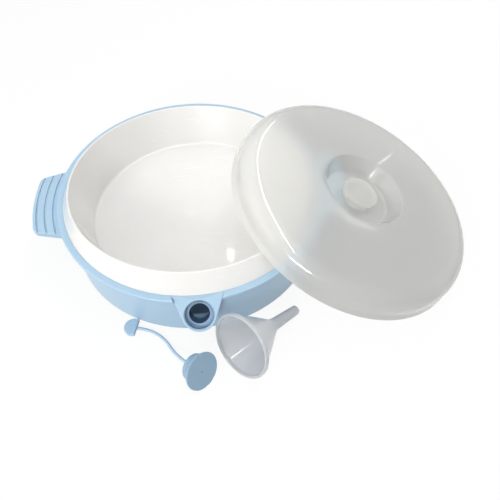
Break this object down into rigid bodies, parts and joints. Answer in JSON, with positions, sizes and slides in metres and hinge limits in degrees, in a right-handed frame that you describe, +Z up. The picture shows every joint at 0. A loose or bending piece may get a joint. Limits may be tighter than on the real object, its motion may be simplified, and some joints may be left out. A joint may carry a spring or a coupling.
{
  "type": "hot water plate",
  "caption": "Plastic plate with a hot water chamber under the food dish: blue shell with handles and filler mouth, white dish, stopper on a strap, filling funnel and domed lid.",
  "frame": {"origin": "centre of the shell's flat underside, on the table", "axes": "+Z up, -Y towards the filler mouth, +X towards the right handle and the leaning lid"},
  "size_m": [0.3586, 0.2677, 0.0914],
  "materials": {
    "blue_shell": "smooth moulded, soft gloss",
    "white_dish": "smooth moulded, glossy",
    "stopper_soft": "soft, satin",
    "clear_lid": "translucent, faintly frosted",
    "clear_funnel": "translucent, glossy"
  },
  "bodies": {
    "plate": {"outer_shell": "blue_shell", "filler_spout": "blue_shell", "right_handle": "blue_shell", "left_handle": "blue_shell", "food_dish": "white_dish"},
    "lid": {"lid": "clear_lid", "lid_knob": "clear_lid"},
    "stopper": {"stopper_plug": "stopper_soft", "stopper_strap": "stopper_soft", "strap_toggle": "stopper_soft"},
    "funnel": {"funnel": "clear_funnel"}
  },
  "joints": [
    {"name": "lid_lift", "type": "slide", "parent": "plate", "child": "lid", "axis": [0, 0, 1], "range_m": [0, 0.15]},
    {"name": "stopper_pick_up", "type": "slide", "parent": "plate", "child": "stopper", "axis": [0, -0.8, 0.6], "range_m": [0, 0.15]},
    {"name": "funnel_pick_up", "type": "slide", "parent": "plate", "child": "funnel", "axis": [0, -0.8, 0.6], "range_m": [0, 0.15]}
  ]
}
